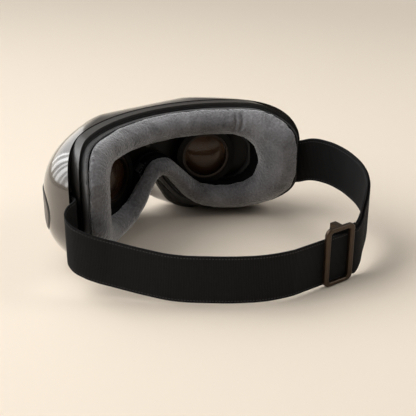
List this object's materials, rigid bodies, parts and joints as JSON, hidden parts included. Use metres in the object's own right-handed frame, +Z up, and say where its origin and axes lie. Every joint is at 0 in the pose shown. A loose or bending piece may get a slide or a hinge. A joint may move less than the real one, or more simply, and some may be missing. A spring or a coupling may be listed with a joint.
{
  "type": "eye massager",
  "caption": "Goggle-shaped eye massager with a glossy curved shell, a plush face pad, round eye domes, a side push button and an adjustable elastic head strap.",
  "frame": {"origin": "on the table plane, on the symmetry plane of the shell, midway between the shell's two rest flats", "axes": "+X to the wearer's right, -Y to the wearer's face, +Y to the front of the shell, +Z up"},
  "size_m": [0.2311, 0.1911, 0.0925],
  "materials": {
    "shell_gloss": "gloss",
    "frame_satin": "satin",
    "seal_black": "matt",
    "plush_grey": "plush",
    "gusset_grey": "smooth",
    "carrier_black": "matt",
    "hook_black": "hook and loop",
    "panel_dark": "satin",
    "barrel_black": "satin",
    "bezel_taupe": "satin",
    "dome_gloss": "gloss",
    "heater_amber": "film",
    "motor_steel": "brushed",
    "weight_brass": "machined",
    "board_green": "satin",
    "chip_black": "matt",
    "battery_foil": "foil",
    "port_steel": "brushed",
    "button_taupe": "matt",
    "ring_black": "satin",
    "screw_steel": "dark",
    "bar_steel": "brushed",
    "strap_black": "ribbed elastic",
    "slider_bronze": "satin"
  },
  "bodies": {
    "body": {"front_shell": "shell_gloss", "rear_frame": "frame_satin", "light_seal": "seal_black", "face_pad": "plush_grey", "pad_gusset": "gusset_grey", "pad_carrier": "carrier_black", "hook_loop_ring": "hook_black", "inner_panel": "panel_dark", "main_board": "board_green", "board_chips": "chip_black", "battery": "battery_foil", "charging_port": "port_steel", "charging_board": "board_green", "button_ring": "ring_black", "tact_switch": "chip_black", "button_board": "board_green", "frame_screws": "screw_steel", "panel_screw": "screw_steel", "board_screws": "screw_steel", "strap_bar_left": "bar_steel", "strap_bar_right": "bar_steel", "head_strap": "strap_black", "strap_return": "strap_black", "lens_barrel_left": "barrel_black", "lens_bezel_left": "bezel_taupe", "eye_dome_left": "dome_gloss", "heater_disc_left": "heater_amber", "barrel_cover_left": "carrier_black", "vibration_motor_left": "motor_steel", "lens_barrel_right": "barrel_black", "lens_bezel_right": "bezel_taupe", "eye_dome_right": "dome_gloss", "heater_disc_right": "heater_amber", "barrel_cover_right": "carrier_black", "vibration_motor_right": "motor_steel"},
    "button": {"side_button": "button_taupe"},
    "slider": {"strap_slider": "slider_bronze", "strap_end_loop": "strap_black"},
    "rotor_left": {"motor_shaft_left": "motor_steel", "eccentric_weight_left": "weight_brass"},
    "rotor_right": {"motor_shaft_right": "motor_steel", "eccentric_weight_right": "weight_brass"}
  },
  "joints": [
    {"name": "button_press", "type": "slide", "parent": "body", "child": "button", "axis": [0.9063, -0.4226, 0], "range_m": [0, 0.0008], "stiffness_N_per_m": 800},
    {"name": "slider_slide", "type": "slide", "parent": "body", "child": "slider", "axis": [-1, 0, 0], "range_m": [0, 0.024], "deforming": ["strap_return"]},
    {"name": "rotor_left_spin", "type": "hinge", "parent": "body", "child": "rotor_left", "pos_m": [-0.04666, 0.03232, 0.0483], "axis": [0.9143, 0.4051, 0], "continuous": true},
    {"name": "rotor_right_spin", "type": "hinge", "parent": "body", "child": "rotor_right", "pos_m": [0.04666, 0.03232, 0.0483], "axis": [0.9143, -0.4051, 0], "continuous": true}
  ]
}
